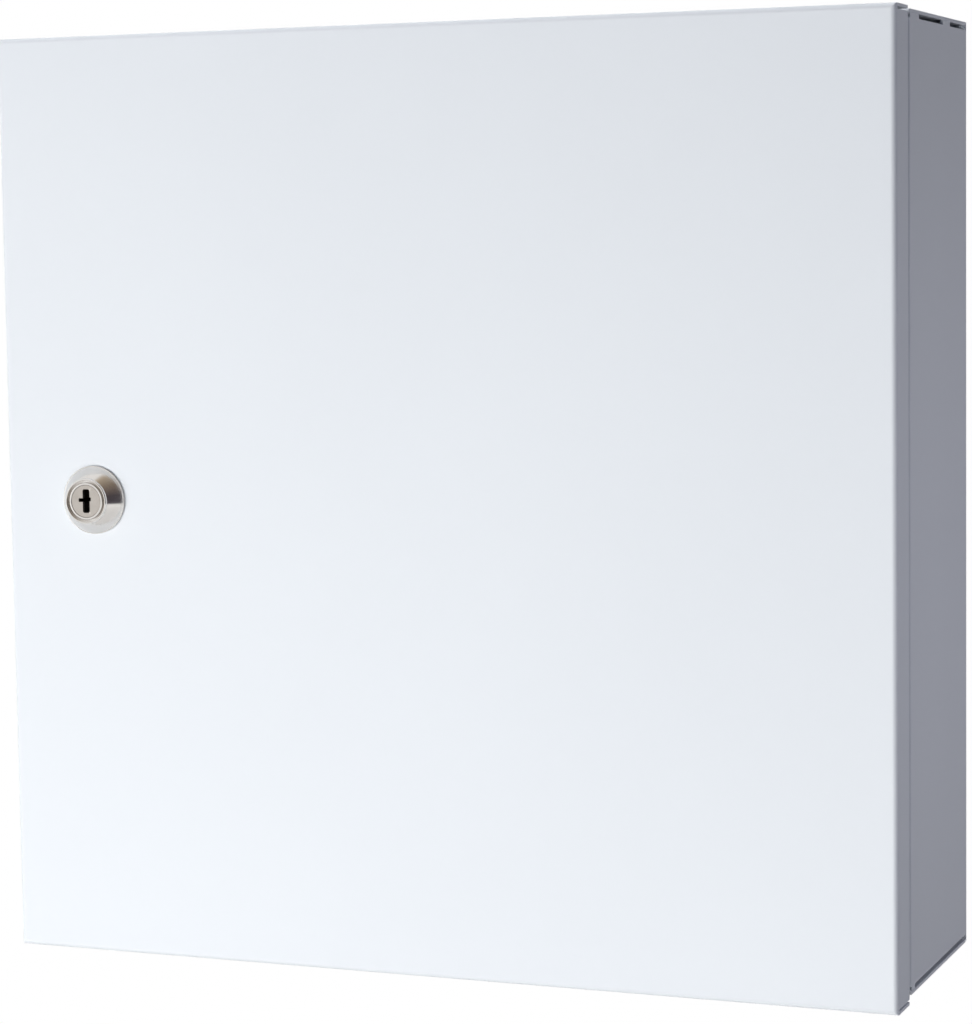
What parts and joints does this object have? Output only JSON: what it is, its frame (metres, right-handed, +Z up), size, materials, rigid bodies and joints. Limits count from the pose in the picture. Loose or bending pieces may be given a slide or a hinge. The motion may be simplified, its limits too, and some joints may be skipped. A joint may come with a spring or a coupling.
{
  "type": "wall enclosure",
  "caption": "White sheet-steel wall enclosure for circuit modules, with a hinged door on concealed hinges, a cam lock and an inner mounting plate.",
  "frame": {"origin": "centre of the four wall fixing holes, on the wall plane of the back sheet", "axes": "+Z up, +Y into the wall, +X to the right of someone facing the door"},
  "size_m": [0.35, 0.1173, 0.3503],
  "materials": {
    "white_paint": "white powder coat with a fine orange peel, satin",
    "nickel_plate": "polished nickel plate",
    "zinc_plate": "bright zinc plate",
    "galvanised": "galvanised sheet with a faint spangle",
    "black_rubber": "matt black rubber"
  },
  "bodies": {
    "cabinet": {"body_wrap": "white_paint", "top_panel": "white_paint", "bottom_panel": "white_paint", "upper_hinge_strap": "zinc_plate", "lower_hinge_strap": "zinc_plate", "upper_hinge_pin": "zinc_plate", "lower_hinge_pin": "zinc_plate", "strap_rivets": "zinc_plate", "door_buffers": "black_rubber", "mounting_plate": "galvanised", "plate_studs": "zinc_plate", "plate_washers": "zinc_plate", "plate_nuts": "zinc_plate", "cabinet_earth_stud": "zinc_plate", "cabinet_earth_washer": "zinc_plate", "cabinet_earth_nut": "zinc_plate"},
    "door": {"door_panel": "white_paint", "upper_hinge_leaf": "zinc_plate", "lower_hinge_leaf": "zinc_plate", "lock_housing": "nickel_plate", "lock_washer": "zinc_plate", "lock_nut": "zinc_plate", "door_earth_stud": "zinc_plate", "door_earth_washer": "zinc_plate", "door_earth_nut": "zinc_plate"},
    "lock_core": {"lock_plug": "nickel_plate", "lock_cam": "zinc_plate", "cam_washer": "zinc_plate", "cam_screw": "zinc_plate"}
  },
  "joints": [
    {"name": "door_swing", "type": "hinge", "parent": "cabinet", "child": "door", "pos_m": [0.1693, -0.101, 0], "axis": [0, 0, 1], "range_deg": [0, 110]},
    {"name": "lock_turn", "type": "hinge", "parent": "door", "child": "lock_core", "pos_m": [-0.1375, -0.1, -0.00085], "axis": [0, 1, 0], "range_deg": [0, 90]}
  ]
}
